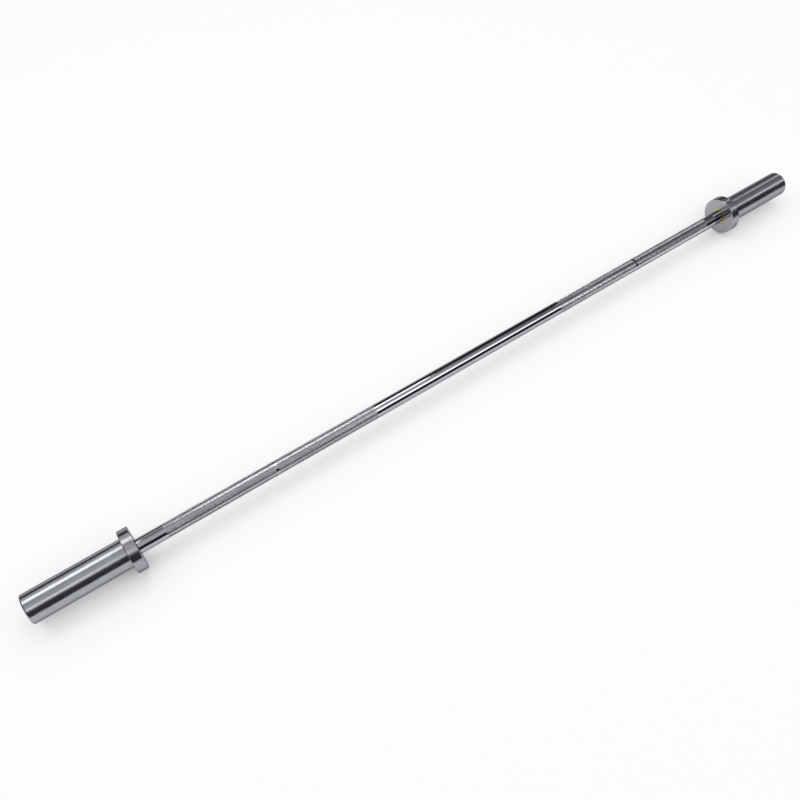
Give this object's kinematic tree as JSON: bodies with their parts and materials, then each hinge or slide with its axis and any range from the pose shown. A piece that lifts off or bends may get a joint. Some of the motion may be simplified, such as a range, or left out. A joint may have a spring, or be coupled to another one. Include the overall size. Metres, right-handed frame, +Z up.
{
  "type": "olympic barbell",
  "caption": "Straight steel weight bar: a knurled shaft with a freely turning round sleeve and a flat stop collar at each end, on which plates are loaded.",
  "frame": {"origin": "on the bar's axis at mid-length", "axes": "+X along the bar towards its right end, +Z up, +Y level and away from the viewer"},
  "size_m": [1.668, 0.074, 0.074],
  "materials": {
    "shaft_chrome": "polished, with satin knurled grips",
    "sleeve_chrome": "satin, fine turning marks",
    "collar_chrome": "satin, turned",
    "bush_bronze": "turned, lightly oiled",
    "washer_steel": "ground",
    "spring_steel": "black oxide",
    "cap_steel": "satin, turned",
    "seal_rubber": "matte"
  },
  "bodies": {
    "shaft": {"shaft": "shaft_chrome", "left_backing_washer": "washer_steel", "left_shaft_circlip": "spring_steel", "right_backing_washer": "washer_steel", "right_shaft_circlip": "spring_steel"},
    "left_sleeve_unit": {"left_sleeve": "sleeve_chrome", "left_collar": "collar_chrome", "left_inner_bush": "bush_bronze", "left_dust_seal": "seal_rubber", "left_outer_bush": "bush_bronze", "left_thrust_washer": "bush_bronze", "left_end_cap": "cap_steel", "left_cap_circlip": "spring_steel"},
    "right_sleeve_unit": {"right_sleeve": "sleeve_chrome", "right_collar": "collar_chrome", "right_inner_bush": "bush_bronze", "right_dust_seal": "seal_rubber", "right_outer_bush": "bush_bronze", "right_thrust_washer": "bush_bronze", "right_end_cap": "cap_steel", "right_cap_circlip": "spring_steel"}
  },
  "joints": [
    {"name": "left_sleeve_spin", "type": "hinge", "parent": "shaft", "child": "left_sleeve_unit", "pos_m": [-0.745, 0, 0], "axis": [1, 0, 0], "continuous": true},
    {"name": "right_sleeve_spin", "type": "hinge", "parent": "shaft", "child": "right_sleeve_unit", "pos_m": [0.745, 0, 0], "axis": [1, 0, 0], "continuous": true}
  ]
}
